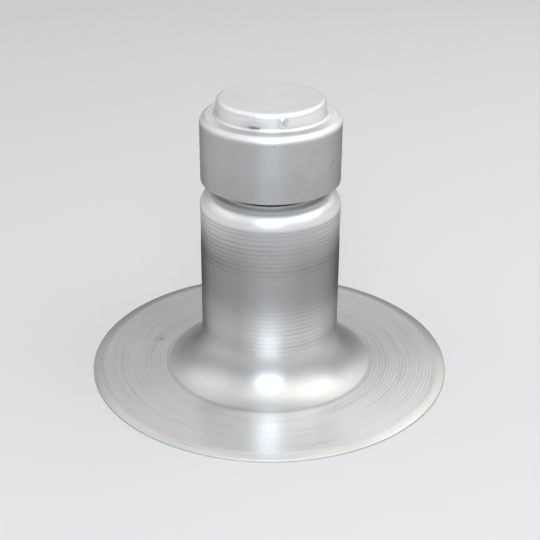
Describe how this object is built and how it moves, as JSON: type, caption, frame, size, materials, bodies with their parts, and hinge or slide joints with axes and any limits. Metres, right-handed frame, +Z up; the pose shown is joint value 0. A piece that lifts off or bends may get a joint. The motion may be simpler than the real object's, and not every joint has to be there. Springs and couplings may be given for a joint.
{
  "type": "roof vent",
  "caption": "Round spun-metal roof vent: a flat flange flares up into a stack, under a stepped cap whose skirt keeps rain out and lets air leave through a ring-shaped gap.",
  "frame": {"origin": "on the vent's axis, level with the lower edge of the flange's rim", "axes": "+Z up along the vent's axis; the first of the cap's rivets faces the front, -Y"},
  "size_m": [0.27, 0.27, 0.2118],
  "materials": {
    "stack_sheet": "spun, with fine tool rings",
    "cap_sheet": "spun, smooth satin",
    "rivet_metal": "bright",
    "mandrel_steel": "broken end"
  },
  "bodies": {
    "root": {"flanged_stack": "stack_sheet", "rain_cap": "cap_sheet", "cap_rivets": "rivet_metal", "rivet_mandrels": "mandrel_steel"}
  },
  "joints": []
}
